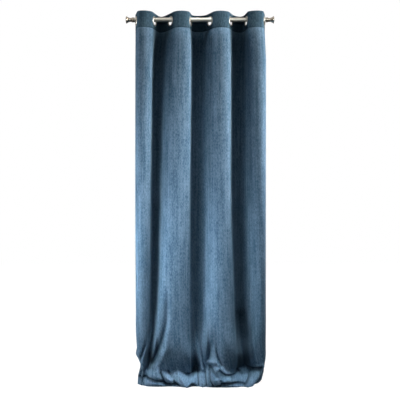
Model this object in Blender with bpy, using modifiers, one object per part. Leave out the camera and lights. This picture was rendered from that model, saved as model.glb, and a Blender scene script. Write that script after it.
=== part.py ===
"""Blackout curtain: one velvet panel with a stiff eyelet heading, on a plain rod with two trumpet finials.

The panel is longer than its drop, so it rolls forward at the floor and its hem lies tucked behind. Metres and
degrees. The origin is the middle of the rod's axis: X runs along the rod, -Y faces the room, and Z is up.
"""

import math

import bmesh
import bpy
from mathutils import Matrix, Vector

# Rod and finials
ROD_RADIUS = 0.0140
ROD_SIDES = 48
SEAT_GAP = 0.0003
COLLAR_X = 0.4290
SOCKET_DEPTH = 0.0150
FINIAL_LENGTH = 0.0575
FINIAL_SIDES = 24
COLLAR_RADIUS = 0.0160
COLLAR_LENGTH = 0.0170
NECK_RADIUS = 0.0120
NECK_LENGTH = 0.0300
FLARE_RADIUS = 0.0235
FLARE_STEPS = 5
DOME_HEIGHT = 0.0060
DOME_STEPS = 3

# The cloth as it is cut, and how far the rod stands above the floor
CLOTH_WIDTH = 1.400
PANEL_THICKNESS = 0.0020
HEADING_THICKNESS = 0.0026
HEADING_HEIGHT = 0.1065
EYELET_BELOW_TOP = 0.0527
EYELET_PITCH = 0.186
FLOOR_Z = -2.380

# Eyelet rings, which clip through the heading from both faces
RING_THROAT = 0.0240
RING_BARREL = 0.0260
RING_OUTER = 0.0325
RING_LIP = 0.0030
RING_SIDES = 24
FLAT_BY_RING = 0.0335
FLAT_BELOW = 0.0140
RELAXING_DROP = 0.160
CUTTER_DEPTH = 0.020

# Heights
RING_Z = ROD_RADIUS + SEAT_GAP - RING_THROAT
TOP_Z = RING_Z + EYELET_BELOW_TOP
HEADING_FOOT_Z = TOP_Z - HEADING_HEIGHT
HEADING_FOOT_LEVEL = HEADING_FOOT_Z - FLOOR_Z
SIDE_MARGIN = (CLOTH_WIDTH - 7 * EYELET_PITCH) / 2
MARGIN_CURL = 12

# How the folds hang, at five levels above the floor and at the floor. A line runs down the cloth from each
# eyelet: its place along the rod, and the angle at which the cloth crosses it, minus towards the room.
LEVELS = (HEADING_FOOT_LEVEL, 2.116, 1.330, 0.544, 0.250, 0.000)
LINE_X = (
    (-0.4165, -0.4218, -0.4225, -0.4195, -0.4120, -0.3950),
    (-0.2986, -0.3110, -0.3210, -0.3320, -0.3450, -0.3720),
    (-0.1930, -0.2110, -0.2400, -0.2730, -0.2970, -0.3450),
    (-0.0630, -0.0570, -0.0640, -0.0680, -0.0660, -0.0600),
    (0.0660, 0.0560, 0.0500, 0.0460, 0.0330, 0.0040),
    (0.2010, 0.2035, 0.2040, 0.2220, 0.2320, 0.2450),
    (0.3035, 0.3130, 0.3150, 0.3220, 0.3400, 0.3560),
    (0.4195, 0.4315, 0.4300, 0.4295, 0.4300, 0.4200),
)
LINE_TURN = (
    (-75, -79, -80, -80, -76, -60),
    (71, 86, 88, 88, 84, 60),
    (-56, -58, -60, -72, -72, -60),
    (77, 88, 90, 90, 90, 75),
    (-58, -55, -56, -58, -56, -45),
    (66, 80, 84, 84, 80, 60),
    (-78, -68, -62, -60, -60, -50),
    (77, 84, 86, 86, 84, 60),
)
# The width of cloth in each fold between two lines, at the same levels. The cloth doesn't stretch: what one
# fold gains its neighbours lose, and at the floor a little is lost in its crumples.
FOLD_WIDTH = (
    (EYELET_PITCH, 0.184, 0.180, 0.164, 0.144, 0.090),
    (EYELET_PITCH, 0.170, 0.149, 0.122, 0.104, 0.080),
    (EYELET_PITCH, 0.209, 0.230, 0.264, 0.290, 0.325),
    (EYELET_PITCH, 0.178, 0.176, 0.158, 0.145, 0.105),
    (EYELET_PITCH, 0.202, 0.212, 0.258, 0.284, 0.310),
    (EYELET_PITCH, 0.178, 0.172, 0.148, 0.166, 0.165),
    (EYELET_PITCH, 0.181, 0.183, 0.188, 0.169, 0.125),
)
# How far each fold leans at the same levels, plus to the left
FOLD_LEAN = (
    (0.40, 0.00, 0.10, 0.25, 0.20, 0.00),
    (-0.20, 0.00, 0.00, 0.00, 0.00, 0.00),
    (0.60, 0.10, 0.20, 0.50, 0.50, 0.10),
    (-0.10, 0.00, 0.00, 0.00, 0.00, 0.00),
    (0.50, 0.10, 0.15, 0.40, 0.40, 0.10),
    (-0.55, 0.00, 0.00, 0.00, 0.00, 0.00),
    (-0.35, -0.05, 0.00, 0.00, 0.00, 0.00),
)

# The cloth's sides near the floor: height, left side and right side along the rod
SIDES = (
    (0.000, -0.407, 0.335),
    (0.013, -0.407, 0.360),
    (0.033, -0.407, 0.400),
    (0.052, -0.405, 0.411),
    (0.072, -0.400, 0.420),
    (0.111, -0.394, 0.426),
    (0.150, -0.408, 0.431),
    (0.190, -0.4240, 0.433),
    (0.230, -0.4165, 0.432),
    (0.320, -0.4205, 0.431),
    (0.480, -0.4230, 0.4310),
)
SIDES_EASE = 0.100
DRAWN_IN_LEFT = 0.090
DRAWN_IN_RIGHT = 0.220

# At the floor the cloth rolls forward. Along the rod: how high the roll is, and how far forward it reaches.
ROLL_SIZE = (
    (-0.409, 0.039, -0.034),
    (-0.374, 0.070, 0.006),
    (-0.340, 0.078, 0.044),
    (-0.304, 0.078, 0.046),
    (-0.275, 0.104, 0.048),
    (-0.244, 0.078, 0.044),
    (-0.197, 0.076, 0.036),
    (-0.132, 0.074, 0.050),
    (-0.100, 0.062, 0.060),
    (-0.060, 0.052, 0.058),
    (-0.010, 0.058, 0.054),
    (0.036, 0.072, 0.058),
    (0.062, 0.128, 0.064),
    (0.104, 0.128, 0.066),
    (0.135, 0.100, 0.060),
    (0.162, 0.080, 0.058),
    (0.202, 0.074, 0.058),
    (0.248, 0.055, 0.064),
    (0.294, 0.050, 0.060),
    (0.333, 0.059, 0.052),
    (0.372, 0.091, 0.042),
    (0.412, 0.117, 0.020),
)
# The roll from the side: how high in shares of its height, and how far forward in shares of its reach
ROLL = (
    (0.00, 0.55),
    (0.06, 0.84),
    (0.30, 1.00),
    (0.60, 0.78),
    (0.85, 0.25),
    (1.00, -0.22),
    (1.20, -0.45),
    (1.60, -0.38),
    (2.60, 0.05),
    (3.60, 0.22),
    (5.50, 0.00),
)
TUCK = 0.045
# Near the floor the valleys fill up from the front: height, and the share of each fold's depth that is kept
CROWDING = (
    (0.000, 0.15),
    (0.020, 0.30),
    (0.045, 0.70),
    (0.080, 1.00),
)
CROWD_FRONT = -0.050

# Creases in the lower folds: how far each stands out at its start and end, minus for a trough, half its width
# on the left and on the right, and its points along the rod and above the floor
CREASES = (
    (-0.010, -0.036, 0.020, 0.016, ((-0.209, 0.541), (-0.247, 0.283), (-0.322, 0.130), (-0.371, 0.072))),
    (0.003, 0.020, 0.014, 0.024, ((-0.201, 0.404), (-0.217, 0.241), (-0.263, 0.143), (-0.289, 0.104))),
    (0.006, 0.020, 0.014, 0.016, ((-0.027, 0.319), (-0.021, 0.241), (-0.008, 0.163), (0.012, 0.091))),
    (0.005, 0.014, 0.012, 0.016, ((0.035, 0.567), (0.035, 0.339), (0.038, 0.241), (0.030, 0.137))),
    (-0.004, -0.013, 0.016, 0.016, ((0.087, 0.333), (0.071, 0.241), (0.055, 0.163))),
    (-0.004, -0.015, 0.016, 0.016, ((0.094, 0.333), (0.110, 0.228), (0.133, 0.130))),
    (0.020, 0.014, 0.014, 0.015, ((0.058, 0.143), (0.107, 0.150), (0.137, 0.114), (0.222, 0.078))),
    (-0.014, -0.036, 0.022, 0.030, ((0.268, 0.437), (0.281, 0.241), (0.300, 0.104))),
    (0.005, 0.016, 0.012, 0.022, ((0.324, 0.632), (0.333, 0.385), (0.361, 0.158))),
    (-0.018, -0.018, 0.014, 0.014, ((0.399, 0.104), (0.366, 0.091), (0.333, 0.059))),
)
CREASE_START = 0.010

# How finely the cloth is divided
FOLD_STEPS = 8
UPPER_ROWS = 12
UPPER_EASE = 1.5
LOWER_ROWS = 9
LOWER_TOP_LEVEL = 0.550
ROLL_ROWS = 10
ROLL_TOP_LEVEL = 0.160
ROLL_EASE = 1.3
TUCK_ROWS = 2
ARCH_STEPS = 24
SOLVER_STEPS = 30


def smooth_at(places, values, place):
    """Read a column of values at a place, on a smooth curve that never overshoots them."""
    if places[0] > places[-1]:
        places, values = places[::-1], values[::-1]
    place = min(max(place, places[0]), places[-1])
    steps = [b - a for a, b in zip(places, places[1:])]
    slopes = [(b - a) / step for a, b, step in zip(values, values[1:], steps)]
    tangents = [slopes[0]]
    for before, after in zip(slopes, slopes[1:]):
        tangents.append(2 * before * after / (before + after) if before * after > 0 else 0.0)
    tangents.append(slopes[-1])
    k = next(i for i in range(len(steps)) if place <= places[i + 1])
    t = (place - places[k]) / steps[k]
    return (
        (2 * t**3 - 3 * t**2 + 1) * values[k]
        + (t**3 - 2 * t**2 + t) * steps[k] * tangents[k]
        + (3 * t**2 - 2 * t**3) * values[k + 1]
        + (t**3 - t**2) * steps[k] * tangents[k + 1]
    )


def eased(share):
    """A share from 0 to 1 that starts and ends gently."""
    share = min(max(share, 0.0), 1.0)
    return share * share * (3 - 2 * share)


def along(angle):
    """The direction in plan at an angle from the rod, plus towards the wall."""
    return Vector((math.cos(math.radians(angle)), math.sin(math.radians(angle)), 0))


def length_of(points):
    return sum((b - a).length for a, b in zip(points, points[1:]))


def spaced(points, steps):
    """The same line, with its points spread evenly along it."""
    step = length_of(points) / steps
    made = [points[0]]
    walked = 0.0
    for a, b in zip(points, points[1:]):
        part = (b - a).length
        while len(made) < steps and walked + part >= step * len(made):
            made.append(a.lerp(b, (step * len(made) - walked) / part))
        walked += part
    return made + [points[-1]]


def arch(start, start_angle, end, end_angle, lean, reach):
    """A rounded fold in plan from one line to the next; a longer reach makes it deeper."""
    first = start + along(start_angle) * reach * (1 + lean)
    last = end - along(end_angle) * reach * (1 - lean)
    points = []
    for i in range(ARCH_STEPS + 1):
        t = i / ARCH_STEPS
        ends = start * (1 - t) ** 3 + end * t**3
        points.append(ends + first * 3 * t * (1 - t) ** 2 + last * 3 * t**2 * (1 - t))
    return points


def fold(start, start_angle, end, end_angle, lean, width):
    """The fold between two lines that takes up exactly this width of cloth."""
    shallow, deep = 0.0, width
    for _ in range(SOLVER_STEPS):
        reach = (shallow + deep) / 2
        if length_of(arch(start, start_angle, end, end_angle, lean, reach)) < width:
            shallow = reach
        else:
            deep = reach
    return spaced(arch(start, start_angle, end, end_angle, lean, shallow), FOLD_STEPS)


def section(level):
    """The cloth in plan at a height above the floor, from its left edge to its right one."""
    relaxed = eased((HEADING_FOOT_LEVEL - level) / RELAXING_DROP)
    flat = FLAT_BY_RING + (FLAT_BELOW - FLAT_BY_RING) * relaxed
    places = [Vector((smooth_at(LEVELS, row, level), 0, 0)) for row in LINE_X]
    angles = [smooth_at(LEVELS, row, level) for row in LINE_TURN]
    widths = [smooth_at(LEVELS, row, level) for row in FOLD_WIDTH]
    before = [place - along(angle) * flat for place, angle in zip(places, angles)]
    after = [place + along(angle) * flat for place, angle in zip(places, angles)]
    rest = SIDE_MARGIN - flat
    points = [before[0] - along(angles[0] - MARGIN_CURL) * rest, before[0], places[0]]
    for i in range(len(places) - 1):
        width = widths[i] - 2 * flat
        lean = smooth_at(LEVELS, FOLD_LEAN[i], level)
        points += fold(after[i], angles[i], before[i + 1], angles[i + 1], lean, width)
        points.append(places[i + 1])
    return points + [after[-1], after[-1] + along(angles[-1] + MARGIN_CURL) * rest]


def drawn_in(x, level, first, last):
    """A place along the rod, once the sides at first and last are brought in as they are near the floor."""
    heights, left, right = zip(*SIDES)
    fade = eased((heights[-1] - level) / SIDES_EASE)
    to_left = (smooth_at(heights, left, level) - first) * eased((first + DRAWN_IN_LEFT - x) / DRAWN_IN_LEFT)
    to_right = (smooth_at(heights, right, level) - last) * eased((x - last + DRAWN_IN_RIGHT) / DRAWN_IN_RIGHT)
    return x + (to_left + to_right) * fade


def roll_ahead(x, level):
    """How far the roll at the floor stands towards the room."""
    places, heights, reaches = zip(*ROLL_SIZE)
    return smooth_at(places, reaches, x) * smooth_at(*zip(*ROLL), level / smooth_at(places, heights, x))


def crease_push(x, level):
    """How far the creases push the cloth towards the room at one place on its face."""
    place = Vector((x, level))
    push = 0.0
    for start_push, end_push, half_left, half_right, points in CREASES:
        points = [Vector(point) for point in points]
        nearest = math.inf
        walked = 0.0
        for start, end in zip(points, points[1:]):
            run = end - start
            offset = place - start
            share = min(max(offset.dot(run) / run.length_squared, 0.0), 1.0)
            away = (offset - run * share).length
            if away < nearest:
                nearest = away
                half = half_right if run.cross(offset) > 0 else half_left
                reached = walked + run.length * share
            walked += run.length
        strength = start_push + (end_push - start_push) * reached / walked
        push += strength * math.exp(-((nearest / half) ** 2))
    return push


def panel_rows():
    """The panel's rows from its edge up: the height above the floor, and how far it lies tucked behind."""
    rows = [(0.0, TUCK * (1 - i / TUCK_ROWS)) for i in range(TUCK_ROWS)]
    rows += [(ROLL_TOP_LEVEL * (i / ROLL_ROWS) ** ROLL_EASE, 0.0) for i in range(ROLL_ROWS)]
    for i in range(LOWER_ROWS):
        rows.append((ROLL_TOP_LEVEL + (LOWER_TOP_LEVEL - ROLL_TOP_LEVEL) * i / LOWER_ROWS, 0.0))
    for i in range(UPPER_ROWS + 1):
        below = (HEADING_FOOT_LEVEL - LOWER_TOP_LEVEL) * (1 - i / UPPER_ROWS) ** UPPER_EASE
        rows.append((HEADING_FOOT_LEVEL - below, 0.0))
    return rows


def sheet(name, rows, thickness, finish, even):
    """Cloth of this thickness lofted through rows of points, from its foot up.

    An even thickness suits a cloth without sharp creases.
    """
    columns = len(rows[0])
    bm = bmesh.new()
    bmesh.ops.create_grid(bm, x_segments=columns - 1, y_segments=len(rows) - 1, size=1)
    bm.verts.ensure_lookup_table()
    for i, vert in enumerate(bm.verts):
        vert.co = rows[i // columns][i % columns]
    made = add_mesh(name, bm, finish)
    made.data.shade_smooth()
    solid = made.modifiers.new("Thickness", "SOLIDIFY")
    solid.thickness = thickness
    solid.offset = 0
    solid.use_even_offset = even
    return made


def make_panel(finish):
    """The panel, from the hem that is tucked behind on the floor up to the heading's foot."""
    lift = PANEL_THICKNESS / 2 + SEAT_GAP
    rows = []
    for level, tucked in panel_rows():
        kept = smooth_at(*zip(*CROWDING), level)
        z = min(FLOOR_Z + level + lift, HEADING_FOOT_Z - SEAT_GAP)
        plan = section(level)
        first = min(point.x for point in plan)
        last = max(point.x for point in plan)
        row = []
        for point in plan:
            x = drawn_in(point.x, level, first, last)
            ahead = roll_ahead(x, level) + crease_push(x, level) * eased(level / CREASE_START) - tucked
            row.append(Vector((x, CROWD_FRONT + (point.y - CROWD_FRONT) * kept - ahead, z)))
        rows.append(row)
    return sheet("panel", rows, PANEL_THICKNESS, finish, even=False)


def make_heading(finish, rings):
    """The heading: a stiff band on the panel's top edge, opened for the barrel of each ring."""
    plan = section(HEADING_FOOT_LEVEL)
    rows = [[point + Vector((0, 0, z)) for point in plan] for z in (HEADING_FOOT_Z, TOP_Z)]
    made = sheet("heading", rows, HEADING_THICKNESS, finish, even=True)
    for ring in rings:
        hole = RING_BARREL + SEAT_GAP
        cutter = add_cylinder("cut_" + ring.name, RING_SIDES, hole, CUTTER_DEPTH, None, CUTTERS)
        cutter.matrix_world = ring.matrix_world
        cutter.hide_render = True
        cutter.display_type = "WIRE"
        opening = made.modifiers.new("Opening", "BOOLEAN")
        opening.operation = "DIFFERENCE"
        opening.object = cutter
    return made


def turned(name, profile, sides, place, finish):
    """A turned piece: a closed profile of (height, radius) points, down its outer side, spun about Z."""
    bm = bmesh.new()
    verts = [bm.verts.new((radius, 0, height)) for height, radius in profile]
    for a, b in zip(verts, verts[1:] + verts[:1]):
        if a.co.x > 0 or b.co.x > 0:
            bm.edges.new((a, b))
    made = add_mesh(name, bm, finish)
    made.matrix_world = place
    spin = made.modifiers.new("Turned", "SCREW")
    spin.steps = sides
    spin.render_steps = sides
    spin.use_merge_vertices = True
    spin.merge_threshold = 0.00005
    spin.use_smooth_shade = True
    return made


def ring_profile():
    """An eyelet ring: a barrel, and a rounded lip on each face with the heading between them."""
    groove = HEADING_THICKNESS / 2 + SEAT_GAP
    crown = (RING_THROAT + RING_OUTER) / 2
    upper = [
        (groove + RING_LIP, crown),
        (groove + 0.7 * RING_LIP, RING_OUTER - 0.0010),
        (groove, RING_OUTER),
        (groove, RING_BARREL),
    ]
    return upper + [(-height, radius) for height, radius in reversed(upper)] + [(0.0, RING_THROAT)]


def finial_profile():
    """A trumpet finial from its domed end down to its collar, with the blind socket for the rod's end."""
    socket = ROD_RADIUS + SEAT_GAP
    flare_end = FINIAL_LENGTH - DOME_HEIGHT
    points = []
    for i in range(DOME_STEPS + 1):
        turn = math.pi / 2 * i / DOME_STEPS
        points.append((flare_end + DOME_HEIGHT * math.cos(turn), FLARE_RADIUS * math.sin(turn)))
    for i in range(1, FLARE_STEPS + 1):
        t = 1 - i / FLARE_STEPS
        height = NECK_LENGTH + (flare_end - NECK_LENGTH) * t
        points.append((height, NECK_RADIUS + (FLARE_RADIUS - NECK_RADIUS) * t**2))
    points += [
        (COLLAR_LENGTH, NECK_RADIUS + SEAT_GAP),
        (COLLAR_LENGTH, COLLAR_RADIUS),
        (0.0, COLLAR_RADIUS),
        (0.0, socket),
        (SOCKET_DEPTH, socket),
        (SOCKET_DEPTH, 0.0),
    ]
    return points


def make_rings(finish):
    """One ring for each line, hanging on the rod and turned along the cloth."""
    rings = []
    for i, (places, angles) in enumerate(zip(LINE_X, LINE_TURN), 1):
        spot = Matrix.Translation((places[0], 0, RING_Z))
        turn = Matrix.Rotation(math.radians(angles[0]), 4, "Z")
        upright = Matrix.Rotation(math.pi / 2, 4, "X")
        rings.append(turned(f"eyelet_{i}", ring_profile(), RING_SIDES, spot @ turn @ upright, finish))
    return rings


def make_rod(finish):
    length = 2 * (COLLAR_X + SOCKET_DEPTH - SEAT_GAP)
    made = add_cylinder("rod", ROD_SIDES, ROD_RADIUS, length, finish, PARTS)
    made.rotation_euler = (0, math.pi / 2, 0)
    return made


def make_finials(finish):
    for name, side in (("finial_left", -1), ("finial_right", 1)):
        spot = Matrix.Translation((side * COLLAR_X, 0, 0))
        turn = Matrix.Rotation(side * math.pi / 2, 4, "Y")
        turned(name, finial_profile(), FINIAL_SIDES, spot @ turn, finish)


def add_cylinder(name, sides, radius, length, finish, group):
    bm = bmesh.new()
    bmesh.ops.create_cone(bm, cap_ends=True, segments=sides, radius1=radius, radius2=radius, depth=length)
    return add_mesh(name, bm, finish, group)


def add_mesh(name, bm, finish, group=None):
    """An object of this mesh, in the curtain's collection unless another is given."""
    mesh = bpy.data.meshes.new(name)
    bm.to_mesh(mesh)
    bm.free()
    if finish:
        mesh.materials.append(finish)
    made = bpy.data.objects.new(name, mesh)
    (group or PARTS).objects.link(made)
    return made


def add_finish(name, colour, roughness, metallic):
    made = bpy.data.materials.new(name)
    made.use_nodes = True
    shader = made.node_tree.nodes["Principled BSDF"]
    shader.inputs["Base Color"].default_value = (*colour, 1)
    shader.inputs["Roughness"].default_value = roughness
    shader.inputs["Metallic"].default_value = metallic
    return made


def add_collection(name):
    made = bpy.data.collections.new(name)
    bpy.context.scene.collection.children.link(made)
    return made


for old in list(bpy.data.objects):
    bpy.data.objects.remove(old)
PARTS = add_collection("blackout_curtain")
CUTTERS = add_collection("cutters")

make_rod(add_finish("satin_nickel", (0.60, 0.57, 0.52), 0.30, 1.0))
make_finials(add_finish("polished_nickel", (0.66, 0.63, 0.58), 0.15, 1.0))
eyelets = make_rings(add_finish("silver_eyelet", (0.72, 0.72, 0.72), 0.20, 1.0))
make_heading(add_finish("heading_velvet", (0.035, 0.080, 0.130), 0.90, 0.0), eyelets)
make_panel(add_finish("blue_velvet", (0.045, 0.105, 0.170), 0.85, 0.0))
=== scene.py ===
"""The looks of the blackout curtain: velvet panel, eyelet heading, rings, rod and finials.

The cloth follows the same lines and fold widths as the frame's solids, more finely and with its crumples.
Metres. The origin is the middle of the rod's axis: X along the rod, -Y towards the room, Z up.
"""

import math

import bpy
import numpy as np
from mathutils import Matrix, Vector


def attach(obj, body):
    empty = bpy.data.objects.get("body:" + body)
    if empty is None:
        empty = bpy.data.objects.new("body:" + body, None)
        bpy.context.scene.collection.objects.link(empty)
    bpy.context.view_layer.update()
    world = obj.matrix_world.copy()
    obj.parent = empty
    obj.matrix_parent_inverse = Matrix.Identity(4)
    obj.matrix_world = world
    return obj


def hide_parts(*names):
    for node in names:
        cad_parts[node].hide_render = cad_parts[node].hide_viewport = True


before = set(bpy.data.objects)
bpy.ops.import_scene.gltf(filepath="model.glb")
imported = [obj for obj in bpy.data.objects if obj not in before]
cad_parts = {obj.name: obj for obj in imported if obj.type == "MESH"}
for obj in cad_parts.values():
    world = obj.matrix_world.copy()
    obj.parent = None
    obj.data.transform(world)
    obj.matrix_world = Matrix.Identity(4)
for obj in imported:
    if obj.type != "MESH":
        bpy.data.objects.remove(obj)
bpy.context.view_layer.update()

# Rod, rings and finials, as in the frame
ROD_RADIUS = 0.0140
SEAT_GAP = 0.0003
COLLAR_X = 0.4290
SOCKET_DEPTH = 0.0150
FINIAL_LENGTH = 0.0575
COLLAR_RADIUS = 0.0160
COLLAR_LENGTH = 0.0170
NECK_RADIUS = 0.0120
FLARE_RADIUS = 0.0235
RING_THROAT = 0.0240
RING_BARREL = 0.0260
RING_OUTER = 0.0325
RING_LIP = 0.0030

# A ring's rolled lip, outer half: how high above the groove, and how far inside the outer radius
LIP_OUTER = (
    (0.0000, 0.0000),
    (0.0007, 0.0001),
    (0.0016, 0.0009),
    (0.0024, 0.0022),
)
# Its crest: how far under the lip's top, and how far outside the middle radius
LIP_CREST = (
    (0.0000, 0.0006),
    (0.0002, -0.0012),
)
# Its inner half: how far under the lip's top, and how far outside the throat
LIP_INNER = (
    (0.0009, 0.0016),
    (0.0021, 0.0004),
    (0.0034, 0.0000),
)

# A finial's collar with its groove: how far along, and how far inside the collar's radius
COLLAR_CURVE = (
    (0.0000, 0.0006),
    (0.0006, 0.0000),
    (0.0036, 0.0000),
    (0.0040, 0.0007),
    (0.0046, 0.0007),
    (0.0050, 0.0000),
    (0.0156, 0.0000),
    (COLLAR_LENGTH, 0.0012),
)
# The rim of its flare: how far past the neck, and how far inside the flare's radius
RIM_CURVE = (
    (0.0010, 0.0001),
    (0.0024, 0.0000),
    (0.0034, 0.0008),
)
# Its waisted neck and the shallow dome on its end
NECK_START = 0.0006
NECK_SWELL = 0.0016
NECK_POWER = 2.6
NECK_END_INSIDE = 0.0008
DOME_FOOT = 0.0034
DOME_HEIGHT = 0.0038
DOME_INSIDE = 0.0012

# The cloth, as in the frame
CLOTH_WIDTH = 1.400
PANEL_THICKNESS = 0.0020
HEADING_THICKNESS = 0.0026
HEADING_HEIGHT = 0.1065
EYELET_BELOW_TOP = 0.0527
EYELET_PITCH = 0.186
FLAT_BY_RING = 0.0335
FLAT_BELOW = 0.0140
RELAXING_DROP = 0.160
FLOOR_Z = -2.380
RING_Z = ROD_RADIUS + SEAT_GAP - RING_THROAT
TOP_Z = RING_Z + EYELET_BELOW_TOP
HEADING_FOOT_Z = TOP_Z - HEADING_HEIGHT
HEADING_FOOT_LEVEL = HEADING_FOOT_Z - FLOOR_Z
SIDE_MARGIN = (CLOTH_WIDTH - 7 * EYELET_PITCH) / 2
MARGIN_CURL = 12
# The panel's top edge reaches this far into the doubled heading
SEAM_TUCK = 0.0015

# How the folds hang, at five levels above the floor and at the floor: each line's place along the rod, the
# angle at which the cloth crosses it (minus towards the room), and the cloth's width between two lines.
LEVELS = (HEADING_FOOT_LEVEL, 2.116, 1.330, 0.544, 0.250, 0.000)
LINE_X = (
    (-0.4165, -0.4218, -0.4225, -0.4195, -0.4120, -0.3950),
    (-0.2986, -0.3110, -0.3210, -0.3320, -0.3450, -0.3720),
    (-0.1930, -0.2110, -0.2400, -0.2730, -0.2970, -0.3450),
    (-0.0630, -0.0570, -0.0640, -0.0680, -0.0660, -0.0600),
    (0.0660, 0.0560, 0.0500, 0.0460, 0.0330, 0.0040),
    (0.2010, 0.2035, 0.2040, 0.2220, 0.2320, 0.2450),
    (0.3035, 0.3130, 0.3150, 0.3220, 0.3400, 0.3560),
    (0.4195, 0.4315, 0.4300, 0.4295, 0.4300, 0.4200),
)
LINE_TURN = (
    (-75, -79, -80, -80, -76, -60),
    (71, 86, 88, 88, 84, 60),
    (-56, -58, -60, -72, -72, -60),
    (77, 88, 90, 90, 90, 75),
    (-58, -55, -56, -58, -56, -45),
    (66, 80, 84, 84, 80, 60),
    (-78, -68, -62, -60, -60, -50),
    (77, 84, 86, 86, 84, 60),
)
FOLD_WIDTH = (
    (EYELET_PITCH, 0.184, 0.180, 0.164, 0.144, 0.090),
    (EYELET_PITCH, 0.170, 0.149, 0.122, 0.104, 0.080),
    (EYELET_PITCH, 0.209, 0.230, 0.264, 0.290, 0.325),
    (EYELET_PITCH, 0.178, 0.176, 0.158, 0.145, 0.105),
    (EYELET_PITCH, 0.202, 0.212, 0.258, 0.284, 0.310),
    (EYELET_PITCH, 0.178, 0.172, 0.148, 0.166, 0.165),
    (EYELET_PITCH, 0.181, 0.183, 0.188, 0.169, 0.125),
)
# How far each fold leans at the same levels, plus to the left
FOLD_LEAN = (
    (0.40, 0.00, 0.10, 0.25, 0.20, 0.00),
    (-0.20, 0.00, 0.00, 0.00, 0.00, 0.00),
    (0.60, 0.10, 0.20, 0.50, 0.50, 0.10),
    (-0.10, 0.00, 0.00, 0.00, 0.00, 0.00),
    (0.50, 0.10, 0.15, 0.40, 0.40, 0.10),
    (-0.55, 0.00, 0.00, 0.00, 0.00, 0.00),
    (-0.35, -0.05, 0.00, 0.00, 0.00, 0.00),
)

# The cloth's sides near the floor: height, left side and right side along the rod
SIDES = (
    (0.000, -0.407, 0.335),
    (0.013, -0.407, 0.360),
    (0.033, -0.407, 0.400),
    (0.052, -0.405, 0.411),
    (0.072, -0.400, 0.420),
    (0.111, -0.394, 0.426),
    (0.150, -0.408, 0.431),
    (0.190, -0.424, 0.433),
    (0.230, -0.4165, 0.432),
    (0.320, -0.4205, 0.431),
    (0.480, -0.423, 0.431),
)
SIDES_EASE = 0.100
DRAWN_IN_LEFT = 0.090
DRAWN_IN_RIGHT = 0.220

# At the floor the cloth rolls forward over its hem, which lies tucked behind. Along the rod: how high the
# roll is, and how far forward it reaches.
ROLL_SIZE = (
    (-0.409, 0.039, -0.034),
    (-0.374, 0.070, 0.006),
    (-0.340, 0.078, 0.044),
    (-0.304, 0.078, 0.046),
    (-0.275, 0.104, 0.048),
    (-0.244, 0.078, 0.044),
    (-0.197, 0.076, 0.036),
    (-0.132, 0.074, 0.050),
    (-0.100, 0.062, 0.060),
    (-0.060, 0.052, 0.058),
    (-0.010, 0.058, 0.054),
    (0.036, 0.072, 0.058),
    (0.062, 0.128, 0.064),
    (0.104, 0.128, 0.066),
    (0.135, 0.100, 0.060),
    (0.162, 0.080, 0.058),
    (0.202, 0.074, 0.058),
    (0.248, 0.055, 0.064),
    (0.294, 0.050, 0.060),
    (0.333, 0.059, 0.052),
    (0.372, 0.091, 0.042),
    (0.412, 0.117, 0.020),
)
# The roll from the side: how high in shares of its height, and how far forward in shares of its reach
ROLL = (
    (0.00, 0.55),
    (0.06, 0.84),
    (0.30, 1.00),
    (0.60, 0.78),
    (0.85, 0.25),
    (1.00, -0.22),
    (1.20, -0.45),
    (1.60, -0.38),
    (2.60, 0.05),
    (3.60, 0.22),
    (5.50, 0.00),
)
# How far behind the roll the hem's edge is tucked
TUCK = 0.045
# Near the floor the valleys fill up towards the front: height, and the share of each fold's depth left
CROWDING = (
    (0.000, 0.15),
    (0.020, 0.30),
    (0.045, 0.70),
    (0.080, 1.00),
)
CROWD_FRONT = -0.050

# Creases in the lower folds: how far each stands out at its start and end, minus for a trough, half its width
# on the left and on the right where it runs down, and its points along the rod and above the floor
CREASES = (
    (-0.010, -0.037, 0.020, 0.016,
     ((-0.209, 0.541), (-0.221, 0.385), (-0.247, 0.283), (-0.322, 0.130), (-0.371, 0.072))),
    (0.003, 0.020, 0.012, 0.024, ((-0.201, 0.404), (-0.217, 0.241), (-0.263, 0.143), (-0.289, 0.104))),
    (0.005, 0.014, 0.011, 0.011, ((-0.276, 0.339), (-0.296, 0.228), (-0.342, 0.111), (-0.365, 0.072))),
    (-0.005, -0.022, 0.011, 0.008, ((-0.335, 0.326), (-0.358, 0.248), (-0.387, 0.163))),
    (0.007, 0.024, 0.010, 0.012, ((-0.027, 0.319), (-0.021, 0.241), (-0.008, 0.163), (0.012, 0.091))),
    (-0.005, -0.020, 0.010, 0.010, ((-0.004, 0.287), (0.009, 0.202), (0.028, 0.104))),
    (0.005, 0.017, 0.010, 0.014, ((0.035, 0.567), (0.035, 0.339), (0.038, 0.241), (0.030, 0.137))),
    (-0.003, -0.013, 0.014, 0.016, ((0.087, 0.333), (0.071, 0.241), (0.055, 0.163))),
    (-0.003, -0.013, 0.016, 0.014, ((0.094, 0.333), (0.110, 0.228), (0.133, 0.130))),
    (0.000, 0.020, 0.016, 0.016, ((0.089, 0.274), (0.091, 0.163))),
    (0.024, 0.017, 0.012, 0.012,
     ((0.058, 0.143), (0.107, 0.150), (0.137, 0.114), (0.166, 0.085), (0.222, 0.078))),
    (-0.031, -0.031, 0.010, 0.014, ((0.065, 0.117), (0.091, 0.088), (0.130, 0.052))),
    (-0.014, -0.037, 0.022, 0.030, ((0.268, 0.437), (0.281, 0.241), (0.300, 0.104))),
    (0.005, 0.017, 0.010, 0.022, ((0.324, 0.632), (0.333, 0.385), (0.361, 0.158))),
    (-0.020, -0.020, 0.010, 0.012, ((0.399, 0.104), (0.366, 0.091), (0.333, 0.059))),
)
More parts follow.
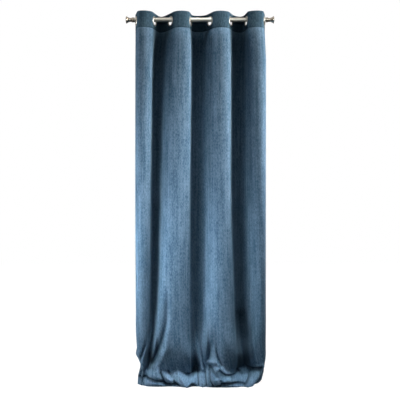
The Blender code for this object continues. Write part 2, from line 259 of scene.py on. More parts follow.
# The crumples along the hem, in the same columns
CRUMPLES = (
    (0.005, 0.016, 0.009, 0.008, ((-0.327, 0.313), (-0.351, 0.209), (-0.385, 0.104))),
    (0.012, 0.018, 0.010, 0.008, ((-0.285, 0.300), (-0.300, 0.200), (-0.330, 0.110))),
    (-0.030, -0.030, 0.008, 0.008,
     ((-0.389, 0.047), (-0.328, 0.043), (-0.262, 0.036), (-0.187, 0.014), (-0.158, 0.024))),
    (0.020, 0.014, 0.010, 0.008, ((-0.370, 0.072), (-0.315, 0.070), (-0.262, 0.062))),
    (0.022, 0.022, 0.009, 0.010, ((-0.243, 0.078), (-0.197, 0.052), (-0.161, 0.030))),
    (-0.022, -0.028, 0.008, 0.009, ((-0.258, 0.080), (-0.240, 0.055), (-0.228, 0.020))),
    (-0.018, -0.018, 0.010, 0.010, ((-0.205, 0.090), (-0.186, 0.060))),
    (0.022, 0.024, 0.010, 0.012, ((-0.145, 0.078), (-0.112, 0.046), (-0.080, 0.004))),
    (-0.032, -0.026, 0.008, 0.009, ((-0.168, 0.036), (-0.125, 0.000))),
    (-0.034, -0.034, 0.009, 0.010, ((-0.084, 0.060), (-0.044, 0.046))),
    (-0.028, -0.028, 0.008, 0.008, ((-0.060, 0.016), (-0.030, 0.004))),
    (0.024, 0.024, 0.009, 0.009, ((-0.073, 0.026), (-0.030, 0.036))),
    (-0.024, -0.030, 0.008, 0.008, ((-0.020, 0.090), (-0.009, 0.007))),
    (0.018, 0.024, 0.008, 0.008, ((0.012, 0.078), (0.015, 0.004))),
    (-0.030, -0.030, 0.008, 0.008, ((0.038, 0.072), (0.042, 0.004))),
    (-0.028, -0.030, 0.008, 0.008, ((0.062, 0.098), (0.068, 0.040), (0.084, 0.016))),
    (0.015, 0.016, 0.010, 0.010, ((0.086, 0.080), (0.096, 0.030))),
    (-0.034, -0.034, 0.010, 0.010, ((0.104, 0.010), (0.133, 0.012))),
    (0.020, 0.014, 0.008, 0.008, ((0.110, 0.060), (0.150, 0.052), (0.190, 0.055))),
    (-0.026, -0.022, 0.014, 0.009, ((0.120, 0.098), (0.160, 0.072), (0.215, 0.064))),
    (-0.030, -0.030, 0.008, 0.008, ((0.136, 0.032), (0.228, 0.026), (0.292, 0.014), (0.327, 0.052))),
    (-0.022, -0.022, 0.010, 0.010, ((0.240, 0.082), (0.262, 0.052))),
    (0.016, 0.020, 0.009, 0.009, ((0.262, 0.072), (0.300, 0.044))),
    (0.020, 0.014, 0.008, 0.009, ((0.408, 0.128), (0.372, 0.120))),
    (0.014, 0.026, 0.009, 0.011, ((0.408, 0.108), (0.366, 0.065), (0.330, 0.029))),
    (-0.022, -0.026, 0.008, 0.009, ((0.412, 0.088), (0.379, 0.044), (0.346, 0.010))),
    (-0.024, -0.020, 0.012, 0.010, ((0.400, 0.112), (0.356, 0.094), (0.318, 0.088))),
)
# Creases end this far above the floor
CREASE_FOOT = 0.010

# Shade painted into the velvet's colour: in the folds' hollows from this far back, wholly at this far back,
# and in creases pushed in by this much
HOLLOW_START = 0.004
HOLLOW_DEEP = 0.046
CREASE_DEEP = 0.027
# Painted shade's colour and share, and how much of that share is lost from this level up, over this height
PAINTED_SHADE_COLOUR = (0.002, 0.008, 0.015, 1)
PAINTED_SHADE_SHARE = 0.76
PAINTED_SHADE_FADE = 0.22
FADE_LEVEL = 0.80
FADE_HEIGHT = 0.90
# The wall side starts where the cloth's normal leans to the wall by this much
WALL_SIDE = 0.7

# The velvet's patterns, in repeats to a metre across and down the cloth, and its sheen
STREAK_SCALE = (70.0, 2.6, 1.0)
BLOTCH_SCALE = (22.0, 9.0, 1.0)
NAP_SCALE = (150.0, 60.0, 1.0)
GRAIN_SCALE = 620.0
GRAIN_HEIGHT = 0.25
MIDDLE_TONE = 0.5
SHEEN_TINT = (0.50, 0.76, 1.0, 1)
SHEEN_ROUGHNESS = 0.55
# The metal's patterns, in repeats to a metre along the rod's line and across it
BRUSH_SCALE = (900.0, 40.0, 40.0)
SMUDGE_SCALE = 38.0

# How finely the cloth is divided
MARGIN_STEPS = 6
FLAT_STEPS = 2
FOLD_STEPS = (56, 24, 96, 28, 96, 28, 56)
TUCK_ROWS = 6
ROLL_ROWS = 44
ROLL_TOP_LEVEL = 0.160
LOWER_ROWS = 34
LOWER_TOP_LEVEL = 0.550
UPPER_ROWS = 26
HEADING_ROWS = 14
ROLL_ROW_POWER = 1.3
ARCH_POINTS = 49
REACH_HALVINGS = 30

# How finely the metal is divided
RING_STEPS = 64
CUTTER_DEPTH = 0.020
FINIAL_STEPS = 72
NECK_STEPS = 12
DOME_STEPS = 8
ROD_SIDES = 96
ROD_EDGE = 0.0006
# Points nearer to each other than this are merged
MERGED = 0.00002

# The sky that the metal reflects, from its low end to its high end
SKY_FROM, SKY_TO = -0.5, 0.8
SKY_LOW, SKY_HIGH = 0.10, 0.62
# The strength of the dim sky that lights the curtain
DIM_SKY = 0.03
# The pale floor, and how brightly the camera sees it
FLOOR_SIZE = 14
FLOOR_GLOW = 0.97

# The camera, and its focal length against the photograph's width in pixels
CAMERA_PLACE = (0.0, -3.8, -1.18)
FOCAL_PIXELS = 580
PHOTO_PIXELS = 400
SENSOR_MM = 36

# The lamps: name, place, aim, size, watts, spread in degrees and colour
LAMPS = (
    ("key_right", (3.1, -0.8, 0.45), (0.1, 0.0, -0.35), (0.5, 0.9), 11, 46, (0.97, 1.0, 1.0)),
    ("high_right", (3.0, -1.5, 0.35), (0.0, 0.0, -0.48), (0.5, 0.9), 4.5, 36, (1.0, 0.90, 0.75)),
    ("low_right", (3.2, -0.2, -1.3), (0.4, 0.0, -1.5), (0.3, 0.8), 3, 60, (0.95, 1.0, 1.0)),
    ("low_left", (-2.9, -1.3, -1.40), (0.0, 0.0, -1.66), (0.3, 0.3), 1.6, 24, (0.80, 0.93, 1.0)),
    ("left_front", (-2.6, -2.4, -1.20), (-0.66, 0.0, -1.35), (0.5, 1.2), 5.8, 26, (0.88, 0.96, 1.0)),
    ("left_edge", (-3.4, -0.4, -0.75), (-0.4, 0.0, -0.75), (0.4, 1.4), 80, 180, (0.97, 0.97, 0.97)),
    ("right_edge", (3.4, -0.5, -0.9), (0.4, 0.0, -0.95), (0.4, 0.5), 2.2, 26, (0.97, 0.98, 1.0)),
    ("front_soft", (0.6, -4.4, -0.2), (0.0, 0.0, -1.0), (2.0, 1.2), 22, 180, (0.85, 0.98, 1.0)),
    ("back_soft", (1.2, 4.4, 0.3), (0.0, 0.0, -1.0), (2.0, 1.6), 60, 180, (0.97, 0.98, 1.0)),
    ("hem_top", (0.0, -1.0, 2.8), (0.0, -0.12, -2.4), (0.5, 0.5), 5.0, 16, (0.90, 0.97, 1.0)),
)


def smooth_at(places, values, at):
    """Read a column of values at many places, on a smooth curve that never overshoots them."""
    places = np.array(places, float)
    values = np.array(values, float)
    if places[0] > places[-1]:
        places, values = places[::-1], values[::-1]
    steps = np.diff(places)
    slopes = np.diff(values) / steps
    tangents = np.empty(len(places))
    tangents[0], tangents[-1] = slopes[0], slopes[-1]
    for i in range(1, len(slopes)):
        before, after = slopes[i - 1], slopes[i]
        tangents[i] = 2 * before * after / (before + after) if before * after > 0 else 0.0
    at = np.clip(np.asarray(at, float), places[0], places[-1])
    k = np.clip(np.searchsorted(places, at) - 1, 0, len(steps) - 1)
    t = (at - places[k]) / steps[k]
    return (
        (2 * t**3 - 3 * t**2 + 1) * values[k]
        + (t**3 - 2 * t**2 + t) * steps[k] * tangents[k]
        + (3 * t**2 - 2 * t**3) * values[k + 1]
        + (t**3 - t**2) * steps[k] * tangents[k + 1]
    )


def along(angles):
    """Directions in plan at these angles from the rod, plus towards the wall."""
    turn = np.radians(angles)
    return np.stack([np.cos(turn), np.sin(turn)], axis=-1)


def lengths_of(lines):
    return np.linalg.norm(np.diff(lines, axis=1), axis=2).sum(axis=1)


def arches(starts, start_angles, ends, end_angles, lean, reach):
    """A rounded fold for each row, from one line to the next."""
    t = np.linspace(0, 1, ARCH_POINTS)[None, :, None]
    first = starts + along(start_angles) * (reach * (1 + lean))[:, None]
    last = ends - along(end_angles) * (reach * (1 - lean))[:, None]
    return (
        starts[:, None] * (1 - t) ** 3
        + first[:, None] * 3 * t * (1 - t) ** 2
        + last[:, None] * 3 * t**2 * (1 - t)
        + ends[:, None] * t**3
    )


def folds(starts, start_angles, ends, end_angles, lean, widths, steps):
    """The folds between two lines that take up exactly these widths of cloth, evenly divided."""
    shallow, deep = np.zeros(len(widths)), widths.copy()
    for _ in range(REACH_HALVINGS):
        reach = (shallow + deep) / 2
        short = lengths_of(arches(starts, start_angles, ends, end_angles, lean, reach)) < widths
        shallow = np.where(short, reach, shallow)
        deep = np.where(short, deep, reach)
    lines = arches(starts, start_angles, ends, end_angles, lean, shallow)
    made = np.empty((len(widths), steps + 1, 2))
    for row, line in enumerate(lines):
        walked = np.concatenate([[0], np.cumsum(np.linalg.norm(np.diff(line, axis=0), axis=1))])
        at = np.linspace(0, walked[-1], steps + 1)
        made[row] = np.stack([np.interp(at, walked, line[:, 0]), np.interp(at, walked, line[:, 1])], axis=1)
    return made


def between(starts, ends, steps):
    share = np.linspace(0, 1, steps + 1)[None, :, None]
    return starts[:, None] * (1 - share) + ends[:, None] * share


def sections(levels):
    """The cloth in plan at each height above the floor, and how far across the cloth each column is."""
    levels = np.asarray(levels, float)
    relaxed = np.clip((HEADING_FOOT_LEVEL - levels) / RELAXING_DROP, 0, 1)
    relaxed = np.sin(relaxed * math.pi / 2) ** 2
    flat = FLAT_BY_RING + (FLAT_BELOW - FLAT_BY_RING) * relaxed
    zero = np.zeros(len(levels))
    places = [np.stack([smooth_at(LEVELS, row, levels), zero], axis=1) for row in LINE_X]
    angles = [smooth_at(LEVELS, row, levels) for row in LINE_TURN]
    widths = [smooth_at(LEVELS, row, levels) for row in FOLD_WIDTH]
    before = [place - along(angle) * flat[:, None] for place, angle in zip(places, angles)]
    after = [place + along(angle) * flat[:, None] for place, angle in zip(places, angles)]
    rest = (SIDE_MARGIN - flat)[:, None]
    parts = [between(before[0] - along(angles[0] - MARGIN_CURL) * rest, before[0], MARGIN_STEPS)]
    for i in range(len(places)):
        parts.append(between(before[i], places[i], FLAT_STEPS)[:, 1:])
        parts.append(between(places[i], after[i], FLAT_STEPS)[:, 1:])
        if i < len(FOLD_WIDTH):
            width = widths[i] - 2 * flat
            lean = smooth_at(LEVELS, FOLD_LEAN[i], levels)
            made = folds(after[i], angles[i], before[i + 1], angles[i + 1], lean, width, FOLD_STEPS[i])
            parts.append(made[:, 1:])
    parts.append(between(after[-1], after[-1] + along(angles[-1] + MARGIN_CURL) * rest, MARGIN_STEPS)[:, 1:])
    plan = np.concatenate(parts, axis=1)
    stretches = np.linalg.norm(np.diff(plan, axis=1), axis=2)
    across = np.concatenate([zero[:, None], np.cumsum(stretches, axis=1)], axis=1)
    return plan, across


def crease_push(creases, x, levels):
    """How far these creases push the cloth towards the room."""
    push = np.zeros_like(x)
    for start_push, end_push, half_left, half_right, points in creases:
        runs = list(zip(points, points[1:]))
        whole = sum(math.dist(*run) for run in runs)
        walked = 0.0
        nearest = np.full_like(x, np.inf)
        share_at = np.zeros_like(x)
        side = np.zeros_like(x)
        for start, end in runs:
            run_x, run_level = end[0] - start[0], end[1] - start[1]
            length = math.dist(start, end)
            off_x, off_level = x - start[0], levels - start[1]
            share = np.clip((off_x * run_x + off_level * run_level) / length**2, 0, 1)
            away = np.hypot(off_x - run_x * share, off_level - run_level * share)
            closer = away < nearest
            nearest = np.where(closer, away, nearest)
            share_at = np.where(closer, (walked + length * share) / whole, share_at)
            side = np.where(closer, run_x * off_level - run_level * off_x, side)
            walked += length
        half = np.where(side > 0, half_right, half_left)
        push += (start_push + (end_push - start_push) * share_at) * np.exp(-((nearest / half) ** 2))
    return push


def panel_levels():
    """Heights of the panel's rows above the floor: the tucked hem, the roll, then the folds."""
    tuck = np.zeros(TUCK_ROWS)
    roll = ROLL_TOP_LEVEL * np.linspace(0, 1, ROLL_ROWS, endpoint=False) ** ROLL_ROW_POWER
    lower = np.linspace(ROLL_TOP_LEVEL, LOWER_TOP_LEVEL, LOWER_ROWS, endpoint=False)
    upper = np.linspace(LOWER_TOP_LEVEL, HEADING_FOOT_LEVEL, UPPER_ROWS + 1)
    return np.concatenate([tuck, roll, lower, upper])


def eased(share):
    share = np.clip(share, 0, 1)
    return share * share * (3 - 2 * share)


def drawn_in(x, levels):
    """Bring the cloth's sides in near the floor."""
    heights, left, right = zip(*SIDES)
    low = levels < heights[-1]
    first, last = x.min(axis=1, keepdims=True), x.max(axis=1, keepdims=True)
    to_left = smooth_at(heights, left, levels[:, :1]) - first
    to_right = smooth_at(heights, right, levels[:, :1]) - last
    fade = eased((heights[-1] - levels[:, :1]) / SIDES_EASE)
    moved = to_left * eased((first + DRAWN_IN_LEFT - x) / DRAWN_IN_LEFT)
    moved = moved + to_right * eased((x - last + DRAWN_IN_RIGHT) / DRAWN_IN_RIGHT)
    return np.where(low, x + moved * fade, x)


def painted_shade_amount(y, creased):
    """How deep in a fold's hollow or in a crease the cloth lies, from 0 to 1: the share of shade painted
    there.
    """
    in_fold = eased((y - HOLLOW_START) / (HOLLOW_DEEP - HOLLOW_START))
    return np.maximum(in_fold, eased(-creased / CREASE_DEEP))


def panel_surface():
    """Points of the panel's middle, row by row from its edge up, with its measure and the painted shade
    there.
    """
    row_levels = panel_levels()
    plan, across = sections(row_levels)
    levels = np.repeat(row_levels[:, None], plan.shape[1], axis=1)
    x = drawn_in(plan[:, :, 0], levels)
    crowd_levels, depth_left = zip(*CROWDING)
    left = smooth_at(crowd_levels, depth_left, levels)
    places, heights, reaches = zip(*ROLL_SIZE)
    ahead = smooth_at(places, reaches, x) * smooth_at(*zip(*ROLL), levels / smooth_at(places, heights, x))
    tucked = np.zeros(len(row_levels))
    tucked[:TUCK_ROWS] = np.linspace(TUCK, 0, TUCK_ROWS, endpoint=False)
    ahead = ahead - tucked[:, None]
    creased = crease_push(CREASES + CRUMPLES, x, levels) * eased(levels / CREASE_FOOT)
    y = CROWD_FRONT + (plan[:, :, 1] - CROWD_FRONT) * left - ahead - creased
    z = FLOOR_Z + levels + PANEL_THICKNESS / 2 + SEAT_GAP
    z[-1] = HEADING_FOOT_Z + SEAM_TUCK
    points = np.stack([x, y, z], axis=2)
    steps = np.linalg.norm(np.diff(points, axis=0), axis=2).mean(axis=1)
    down = np.concatenate([[0], np.cumsum(steps)])
    measure = np.stack([across, np.repeat(down[:, None], x.shape[1], axis=1)], axis=2)
    # The painted shade is weaker higher up the cloth
    fade = 1 - PAINTED_SHADE_FADE * eased((levels - FADE_LEVEL) / FADE_HEIGHT)
    return points, measure, painted_shade_amount(y, creased) * fade


def nothing_selected():
    for other in bpy.context.selected_objects:
        other.select_set(False)


def only(piece):
    """Select this piece alone and make it active."""
    nothing_selected()
    piece.select_set(True)
    bpy.context.view_layer.objects.active = piece


def keep_on_room_side(layer, mesh):
    """Fade a layer, the painted shade, out on the cloth's wall side."""
    values = np.empty(len(mesh.vertices), np.float32)
    layer.data.foreach_get("value", values)
    normals = np.empty(len(mesh.vertices) * 3, np.float32)
    mesh.vertex_normals.foreach_get("vector", normals)
    layer.data.foreach_set("value", (values * eased(WALL_SIDE - normals[1::3])).astype(np.float32))


def cloth_piece(name, points, measure, painted_shade, thickness):
    """A sheet of cloth through rows of points, with a UV map in metres of cloth."""
    rows, columns = points.shape[:2]
    nothing_selected()
    bpy.ops.mesh.primitive_grid_add(x_subdivisions=columns - 1, y_subdivisions=rows - 1, size=1)
    piece = bpy.context.object
    piece.name = name
    mesh = piece.data
    mesh.vertices.foreach_set("co", points.reshape(-1, 3).astype(np.float32).ravel())
    corners = np.empty(len(mesh.loops), np.int32)
    mesh.loops.foreach_get("vertex_index", corners)
    mesh.uv_layers[0].data.foreach_set("uv", measure.reshape(-1, 2)[corners].astype(np.float32).ravel())
    # A layer of painted shade: how much the velvet's colour is darkened at each point
    layer = mesh.attributes.new("painted_shade", "FLOAT", "POINT")
    layer.data.foreach_set("value", painted_shade.astype(np.float32).ravel())
    mesh.update()
    solid = piece.modifiers.new("Thickness", "SOLIDIFY")
    solid.thickness = thickness
    solid.offset = 0
    bpy.ops.object.modifier_apply(modifier=solid.name)
    bpy.ops.object.shade_smooth()
    keep_on_room_side(piece.data.attributes["painted_shade"], piece.data)
    return piece


def turned_piece(name, profile, steps, place):
    """A turned piece: the closed profile of (height, radius) points spun about Z, then put in its place."""
    nothing_selected()
    bpy.ops.mesh.primitive_circle_add(vertices=len(profile), radius=RING_OUTER)
    piece = bpy.context.object
    piece.name = name
    for vert, (height, radius) in zip(piece.data.vertices, profile):
        vert.co = (radius, 0, height)
    bpy.ops.object.mode_set(mode="EDIT")
    bpy.ops.mesh.select_all(action="SELECT")
    bpy.ops.mesh.spin(steps=steps, angle=math.tau, center=(0, 0, 0), axis=(0, 0, 1))
    bpy.ops.mesh.select_all(action="SELECT")
    bpy.ops.mesh.remove_doubles(threshold=MERGED)
    bpy.ops.mesh.dissolve_degenerate(threshold=MERGED)
    bpy.ops.mesh.normals_make_consistent(inside=False)
    bpy.ops.object.mode_set(mode="OBJECT")
    piece.data.transform(place)
    bpy.ops.object.shade_smooth_by_angle(angle=math.radians(35))
    return piece


def ring_profile():
    """An eyelet ring: its lips are rolled over, outer edge tight on the heading."""
    groove = HEADING_THICKNESS / 2 + SEAT_GAP / 3
    top = groove + RING_LIP
    middle = (RING_OUTER + RING_THROAT) / 2
    upper = [(groove, RING_BARREL)]
    upper += [(groove + above, RING_OUTER - inside) for above, inside in LIP_OUTER]
    upper += [(top - under, middle + outside) for under, outside in LIP_CREST]
    upper += [(top - under, RING_THROAT + outside) for under, outside in LIP_INNER]
    return upper + [(-height, radius) for height, radius in reversed(upper)]


def finial_profile():
    """A trumpet finial: collar with a groove, waisted neck, flare with a rounded rim, and a shallow dome."""
    socket = ROD_RADIUS + SEAT_GAP
    rim = FINIAL_LENGTH - DOME_FOOT - DOME_HEIGHT
    neck_start = COLLAR_LENGTH + NECK_START
    flare = FLARE_RADIUS - NECK_RADIUS - NECK_END_INSIDE
    points = [(SOCKET_DEPTH, 0.0), (SOCKET_DEPTH, socket), (0.0, socket)]
    points += [(far, COLLAR_RADIUS - inside) for far, inside in COLLAR_CURVE]
    for i in range(NECK_STEPS + 1):
        t = i / NECK_STEPS
        radius = NECK_RADIUS + NECK_SWELL * (1 - t) ** 3 + flare * t**NECK_POWER
        points.append((neck_start + (rim - neck_start) * t, radius))
    points += [(rim + past, FLARE_RADIUS - inside) for past, inside in RIM_CURVE]
    for i in range(1, DOME_STEPS):
        turn = math.pi / 2 * i / DOME_STEPS
        height = DOME_FOOT + DOME_HEIGHT * math.sin(turn)
        points.append((rim + height, (FLARE_RADIUS - DOME_INSIDE) * math.cos(turn)))
    return points + [(FINIAL_LENGTH, 0.0)]


def make_panel():
    points, measure, painted_shade = panel_surface()
    return cloth_piece("curtain_panel", points, measure, painted_shade, PANEL_THICKNESS)


def heading_surface():
    plan, across = sections([HEADING_FOOT_LEVEL])
    heights = np.linspace(HEADING_FOOT_Z, TOP_Z, HEADING_ROWS + 1)
    points = np.empty((len(heights), plan.shape[1], 3))
    points[:, :, :2] = plan[0]
    points[:, :, 2] = heights[:, None]
    measure = np.empty((len(heights), plan.shape[1], 2))
    measure[:, :, 0] = across[0]
    measure[:, :, 1] = (heights - FLOOR_Z)[:, None]
    # The heading's hollows get painted shade too
    return points, measure, painted_shade_amount(points[:, :, 1], np.zeros(plan.shape[1]))


def ring_place(i):
    spot = Matrix.Translation((LINE_X[i][0], 0, RING_Z))
    turn = Matrix.Rotation(math.radians(LINE_TURN[i][0]), 4, "Z")
    return spot @ turn @ Matrix.Rotation(math.pi / 2, 4, "X")


def make_heading():
    points, measure, painted_shade = heading_surface()
    piece = cloth_piece("curtain_heading", points, measure, painted_shade, HEADING_THICKNESS)
    for i in range(len(LINE_X)):
        nothing_selected()
        bpy.ops.mesh.primitive_cylinder_add(
            vertices=RING_STEPS, radius=RING_BARREL + SEAT_GAP / 2, depth=CUTTER_DEPTH
        )
        cutter = bpy.context.object
        cutter.data.transform(ring_place(i))
        only(piece)
        cut = piece.modifiers.new("Opening", "BOOLEAN")
        cut.operation = "DIFFERENCE"
        cut.object = cutter
        bpy.ops.object.modifier_apply(modifier=cut.name)
        bpy.data.objects.remove(cutter)
    return piece


def make_rings():
    profile = ring_profile()
    return [turned_piece(f"ring_{i + 1}", profile, RING_STEPS, ring_place(i)) for i in range(len(LINE_X))]


def make_rod():
    nothing_selected()
    length = 2 * (COLLAR_X + SOCKET_DEPTH - SEAT_GAP)
    bpy.ops.mesh.primitive_cylinder_add(vertices=ROD_SIDES, radius=ROD_RADIUS, depth=length)
    piece = bpy.context.object
    piece.name = "curtain_rod"
    piece.data.transform(Matrix.Rotation(math.pi / 2, 4, "Y"))
    bpy.ops.object.mode_set(mode="EDIT")
    bpy.ops.mesh.select_all(action="SELECT")
    bpy.ops.mesh.bevel(offset=ROD_EDGE, segments=2, affect="EDGES", clamp_overlap=True)
    bpy.ops.object.mode_set(mode="OBJECT")
    bpy.ops.object.shade_smooth_by_angle(angle=math.radians(30))
    return piece


def make_finials():
    made = []
    for name, side in (("finial_end_left", -1), ("finial_end_right", 1)):
        place = Matrix.Translation((side * COLLAR_X, 0, 0)) @ Matrix.Rotation(side * math.pi / 2, 4, "Y")
        made.append(turned_piece(name, finial_profile(), FINIAL_STEPS, place))
    return made


def new_group(name, inputs, outputs):
    """An empty node group with sockets given as (name, kind, value)."""
    group = bpy.data.node_groups.new(name, "ShaderNodeTree")
    for label, kind, value in inputs:
        socket = group.interface.new_socket(label, in_out="INPUT", socket_type=kind)
        if value is not None:
            socket.default_value = value
    for label, kind in outputs:
        group.interface.new_socket(label, in_out="OUTPUT", socket_type=kind)
    return group, group.nodes.new("NodeGroupInput"), group.nodes.new("NodeGroupOutput")


def add_node(tree, kind, values=None, **settings):
    node = tree.nodes.new(kind)
    for key, value in settings.items():
        setattr(node, key, value)
    for key, value in (values or {}).items():
        node.inputs[key].default_value = value
    return node


def noise(tree, vector, scale, detail, **more):
    """A noise over these coordinates, with a scale for each axis or one for all."""
    if isinstance(scale, tuple):
        stretch = add_node(tree, "ShaderNodeMapping", {"Scale": scale})
        tree.links.new(vector, stretch.inputs["Vector"])
        vector, scale = stretch.outputs["Vector"], 1.0
    pattern = add_node(tree, "ShaderNodeTexNoise", {"Scale": scale, "Detail": detail, **more})
    tree.links.new(vector, pattern.inputs["Vector"])
    return pattern.outputs["Fac"]


def swing(tree, pattern, strength, base):
    """A pattern's swing about its middle, times a strength, on a base tone or else on the middle tone."""
    about_middle = add_node(tree, "ShaderNodeMath", {1: MIDDLE_TONE}, operation="SUBTRACT")
    swung = add_node(tree, "ShaderNodeMath", operation="MULTIPLY_ADD")
    tree.links.new(pattern, about_middle.inputs[0])
    tree.links.new(about_middle.outputs[0], swung.inputs[0])
    tree.links.new(strength, swung.inputs[1])
    if base is None:
        swung.inputs[2].default_value = MIDDLE_TONE
    else:
        tree.links.new(base, swung.inputs[2])
    return swung.outputs[0]


def pile_group():
    """Velvet pile: long soft streaks down the cloth, blotches where the nap is brushed, and a fine grain."""
    group, inp, out = new_group(
        "velvet_pile",
        [
            ("Vector", "NodeSocketVector", None),
            ("Deep", "NodeSocketColor", (0.02, 0.05, 0.09, 1)),
            ("Light", "NodeSocketColor", (0.05, 0.11, 0.18, 1)),
            ("Streaks", "NodeSocketFloat", 0.5),
            ("Blotches", "NodeSocketFloat", 0.5),
            ("Nap", "NodeSocketFloat", 3.0),
        ],
        [("Color", "NodeSocketColor"), ("Roughness", "NodeSocketFloat"), ("Height", "NodeSocketFloat")],
    )
    link = group.links.new
    cloth = inp.outputs["Vector"]
    streaks = noise(group, cloth, STREAK_SCALE, 4.0, Roughness=0.6)
    blotches = noise(group, cloth, BLOTCH_SCALE, 5.0, Roughness=0.62, Distortion=0.4)
    nap = noise(group, cloth, NAP_SCALE, 3.0, Roughness=0.7)
    grain = noise(group, cloth, GRAIN_SCALE, 2.0)

    blotched = swing(group, blotches, inp.outputs["Blotches"], None)
    streaked = swing(group, streaks, inp.outputs["Streaks"], blotched)
    napped = swing(group, nap, inp.outputs["Nap"], streaked)
    tone = add_node(group, "ShaderNodeMix", data_type="RGBA")
    link(napped, tone.inputs["Factor"])
    link(inp.outputs["Deep"], tone.inputs[6])
    link(inp.outputs["Light"], tone.inputs[7])
    link(tone.outputs[2], out.inputs["Color"])

    rough = add_node(group, "ShaderNodeMapRange", {"To Min": 0.72, "To Max": 0.95})
    link(blotches, rough.inputs["Value"])
    link(rough.outputs["Result"], out.inputs["Roughness"])
    height = add_node(group, "ShaderNodeMath", {1: GRAIN_HEIGHT}, operation="MULTIPLY_ADD")
    link(grain, height.inputs[0])
    link(streaked, height.inputs[2])
    link(height.outputs[0], out.inputs["Height"])
    return group


def velvet(name, group, deep, light, streaks, blotches, sheen):
    """A velvet finish that follows the cloth's own UV map, with shade painted into its colour in its hollows.
    """
    finish = bpy.data.materials.new(name)
    finish.use_nodes = True
    tree = finish.node_tree
    shader = tree.nodes["Principled BSDF"]
    place = add_node(tree, "ShaderNodeUVMap", uv_map="UVMap")
    pile = add_node(tree, "ShaderNodeGroup", node_tree=group)
    pile.inputs["Deep"].default_value = (*deep, 1)
    pile.inputs["Light"].default_value = (*light, 1)
    pile.inputs["Streaks"].default_value = streaks
    pile.inputs["Blotches"].default_value = blotches
    # Painted shade: the base colour is mixed towards a dark colour by the painted-shade layer
    painted_shade = add_node(tree, "ShaderNodeAttribute", attribute_name="painted_shade")
    share = add_node(tree, "ShaderNodeMath", {1: PAINTED_SHADE_SHARE}, operation="MULTIPLY")
    shaded = add_node(tree, "ShaderNodeMix", {7: PAINTED_SHADE_COLOUR}, data_type="RGBA")
    bump = add_node(tree, "ShaderNodeBump", {"Strength": 0.25, "Distance": 0.0012})
    link = tree.links.new
    link(place.outputs["UV"], pile.inputs["Vector"])
    link(painted_shade.outputs["Fac"], share.inputs[0])
    link(share.outputs[0], shaded.inputs["Factor"])
    link(pile.outputs["Color"], shaded.inputs[6])
    link(shaded.outputs[2], shader.inputs["Base Color"])
    link(pile.outputs["Roughness"], shader.inputs["Roughness"])
    link(pile.outputs["Height"], bump.inputs["Height"])
    link(bump.outputs["Normal"], shader.inputs["Normal"])
    shader.inputs["Specular IOR Level"].default_value = 0.0
    shader.inputs["Sheen Weight"].default_value = sheen
    shader.inputs["Sheen Roughness"].default_value = SHEEN_ROUGHNESS
    shader.inputs["Sheen Tint"].default_value = SHEEN_TINT
    return finish


def brushed_group():
    """Brushed metal: fine lines in rings round the rod's line as a height, and smudges as a roughness."""
    group, inp, out = new_group(
        "brushed_metal",
        [
            ("Vector", "NodeSocketVector", None),
            ("Smooth", "NodeSocketFloat", 0.2),
            ("Rough", "NodeSocketFloat", 0.35),
        ],
        [("Roughness", "NodeSocketFloat"), ("Height", "NodeSocketFloat")],
    )
    link = group.links.new
    lines = noise(group, inp.outputs["Vector"], BRUSH_SCALE, 3.0)
    smudges = noise(group, inp.outputs["Vector"], SMUDGE_SCALE, 3.0)
    rough = add_node(group, "ShaderNodeMapRange")
    link(smudges, rough.inputs["Value"])
    link(inp.outputs["Smooth"], rough.inputs["To Min"])
    link(inp.outputs["Rough"], rough.inputs["To Max"])
    link(rough.outputs["Result"], out.inputs["Roughness"])
    link(lines, out.inputs["Height"])
    return group


def metal(name, group, colour, smooth, rough, brush):
    """A brushed metal between two roughnesses, with this strength of brushing."""
    finish = bpy.data.materials.new(name)
    finish.use_nodes = True
    tree = finish.node_tree
    shader = tree.nodes["Principled BSDF"]
    shader.inputs["Base Color"].default_value = (*colour, 1)
    shader.inputs["Metallic"].default_value = 1.0
    place = add_node(tree, "ShaderNodeTexCoord")
    brushed = add_node(tree, "ShaderNodeGroup", node_tree=group)
    brushed.inputs["Smooth"].default_value = smooth
    brushed.inputs["Rough"].default_value = rough
    bump = add_node(tree, "ShaderNodeBump", {"Strength": brush, "Distance": 0.0001})
    link = tree.links.new
    link(place.outputs["Object"], brushed.inputs["Vector"])
    link(brushed.outputs["Roughness"], shader.inputs["Roughness"])
    link(brushed.outputs["Height"], bump.inputs["Height"])
    link(bump.outputs["Normal"], shader.inputs["Normal"])
    return finish


def wear(piece, finish):
    piece.data.materials.clear()
    piece.data.materials.append(finish)


def make_stage():
    """A plain pale floor under the curtain."""
    nothing_selected()
    bpy.ops.mesh.primitive_plane_add(size=FLOOR_SIZE, location=(0, 0, FLOOR_Z))
    floor = bpy.context.object
    floor.name = "studio_floor"
    finish = bpy.data.materials.new("pale_floor")
    finish.use_nodes = True
    tree = finish.node_tree
    shader = tree.nodes["Principled BSDF"]
    shader.inputs["Base Color"].default_value = (0.12, 0.12, 0.12, 1)
    shader.inputs["Roughness"].default_value = 0.9
    shader.inputs["Emission Color"].default_value = (1, 1, 1, 1)
    seen = add_node(tree, "ShaderNodeLightPath")
    glow = add_node(tree, "ShaderNodeMath", {1: FLOOR_GLOW}, operation="MULTIPLY")
    tree.links.new(seen.outputs["Is Camera Ray"], glow.inputs[0])
    tree.links.new(glow.outputs[0], shader.inputs["Emission Strength"])
    wear(floor, finish)


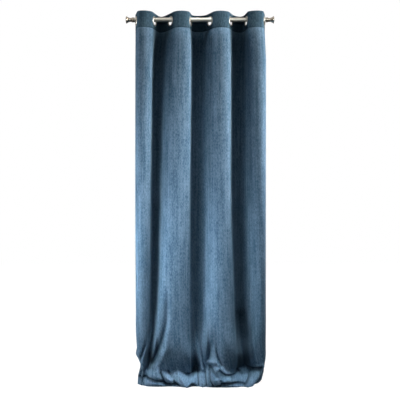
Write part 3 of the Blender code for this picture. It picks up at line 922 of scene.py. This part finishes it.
def make_world():
    """White behind the curtain, a dim sky that lights it, and a brighter one that the metal reflects."""
    world = bpy.data.worlds.new("studio")
    bpy.context.scene.world = world
    world.use_nodes = True
    tree = world.node_tree
    back = tree.nodes["Background"]
    back.inputs["Color"].default_value = (1, 1, 1, 1)
    back.inputs["Strength"].default_value = 1.0
    dim = add_node(tree, "ShaderNodeBackground", {"Color": (0.85, 0.9, 1, 1), "Strength": DIM_SKY})
    sky = add_node(tree, "ShaderNodeBackground", {"Color": (1, 0.98, 0.94, 1)})
    place = add_node(tree, "ShaderNodeTexCoord")
    split = add_node(tree, "ShaderNodeSeparateXYZ")
    rise = add_node(tree, "ShaderNodeMapRange", {"From Min": SKY_FROM, "From Max": SKY_TO})
    rise.inputs["To Min"].default_value = SKY_LOW
    rise.inputs["To Max"].default_value = SKY_HIGH
    seen = add_node(tree, "ShaderNodeLightPath")
    reflected = add_node(tree, "ShaderNodeMixShader")
    mix = add_node(tree, "ShaderNodeMixShader")
    link = tree.links.new
    link(place.outputs["Generated"], split.inputs[0])
    link(split.outputs["Z"], rise.inputs["Value"])
    link(rise.outputs["Result"], sky.inputs["Strength"])
    link(seen.outputs["Is Glossy Ray"], reflected.inputs[0])
    link(dim.outputs[0], reflected.inputs[1])
    link(sky.outputs[0], reflected.inputs[2])
    link(seen.outputs["Is Camera Ray"], mix.inputs[0])
    link(reflected.outputs[0], mix.inputs[1])
    link(back.outputs[0], mix.inputs[2])
    link(mix.outputs[0], tree.nodes["World Output"].inputs["Surface"])


def make_lamps():
    for name, place, aim, size, watts, spread, colour in LAMPS:
        data = bpy.data.lights.new(name, "AREA")
        data.color = colour
        data.shape = "RECTANGLE"
        data.size, data.size_y = size
        data.energy = watts
        data.spread = math.radians(spread)
        lamp = bpy.data.objects.new(name, data)
        bpy.context.scene.collection.objects.link(lamp)
        lamp.location = place
        lamp.rotation_euler = (Vector(aim) - Vector(place)).to_track_quat("-Z", "Y").to_euler()


def make_camera():
    data = bpy.data.cameras.new("camera")
    data.sensor_width = SENSOR_MM
    data.lens = FOCAL_PIXELS / PHOTO_PIXELS * SENSOR_MM
    camera = bpy.data.objects.new("camera", data)
    bpy.context.scene.collection.objects.link(camera)
    camera.location = CAMERA_PLACE
    camera.rotation_euler = (math.radians(90), 0, 0)
    bpy.context.scene.camera = camera


panel = make_panel()
heading = make_heading()
rings = make_rings()
rod = make_rod()
finials = make_finials()

pile = pile_group()
brushed = brushed_group()
panel_finish = velvet(
    "blue_velvet",
    pile,
    deep=(0.038, 0.081, 0.128),
    light=(0.123, 0.187, 0.267),
    streaks=2.0,
    blotches=1.4,
    sheen=0.25,
)
heading_finish = velvet(
    "heading_velvet",
    pile,
    deep=(0.025, 0.052, 0.078),
    light=(0.066, 0.115, 0.158),
    streaks=1.2,
    blotches=1.6,
    sheen=0.20,
)
rod_finish = metal("satin_nickel", brushed, (0.82, 0.78, 0.70), smooth=0.34, rough=0.46, brush=0.25)
ring_finish = metal("silver_rings", brushed, (0.46, 0.45, 0.42), smooth=0.28, rough=0.38, brush=0.05)
finial_finish = metal("polished_nickel", brushed, (0.58, 0.51, 0.43), smooth=0.2, rough=0.3, brush=0.05)
wear(panel, panel_finish)
wear(heading, heading_finish)
wear(rod, rod_finish)
for piece in rings:
    wear(piece, ring_finish)
for piece in finials:
    wear(piece, finial_finish)

for piece in (panel, heading, rod, *rings, *finials):
    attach(piece, "root")
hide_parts("panel")
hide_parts("heading")
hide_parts("rod")
for i, piece in enumerate(rings, 1):
    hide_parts(f"eyelet_{i}")
for piece, node in zip(finials, ("finial_left", "finial_right")):
    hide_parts(node)

make_stage()
make_world()
make_lamps()
make_camera()
bpy.context.scene.view_settings.view_transform = "Standard"
